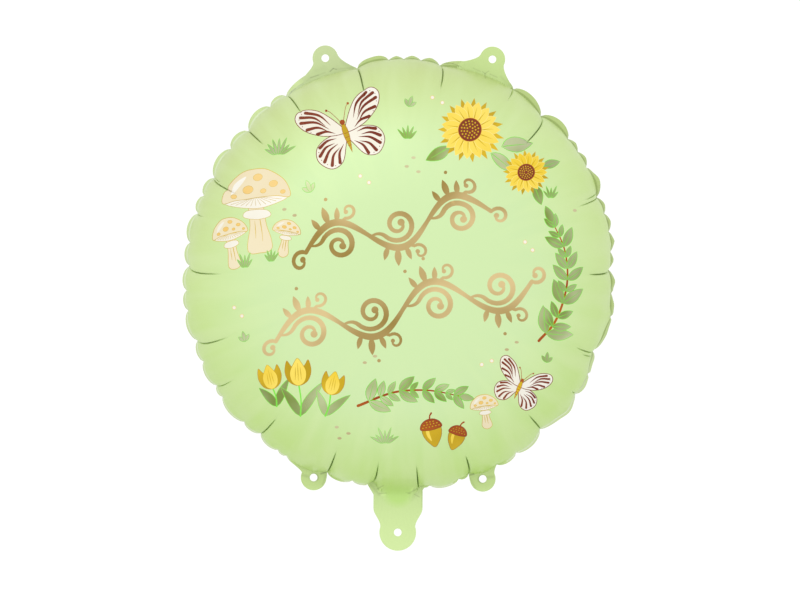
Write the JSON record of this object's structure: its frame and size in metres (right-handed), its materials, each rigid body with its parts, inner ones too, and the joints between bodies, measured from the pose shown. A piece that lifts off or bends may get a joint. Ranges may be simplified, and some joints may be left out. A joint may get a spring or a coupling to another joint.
{
  "type": "foil balloon",
  "caption": "Round filled foil balloon lying on its back: two heat-sealed film sheets, puckered edge with creases, hanging tabs with holes, and a filling tail.",
  "frame": {"origin": "middle of the small flat spot on the back sheet, on the surface that the balloon lies on", "axes": "+Z through the balloon from the back sheet to the printed front sheet, +Y towards the print's top, with the tail towards -Y"},
  "size_m": [0.3488, 0.4075, 0.2],
  "materials": {
    "front_foil": null,
    "back_foil": "satin metallised film, plain pale green"
  },
  "bodies": {
    "root": {"front_panel": "front_foil", "back_panel": "back_foil"}
  },
  "joints": []
}
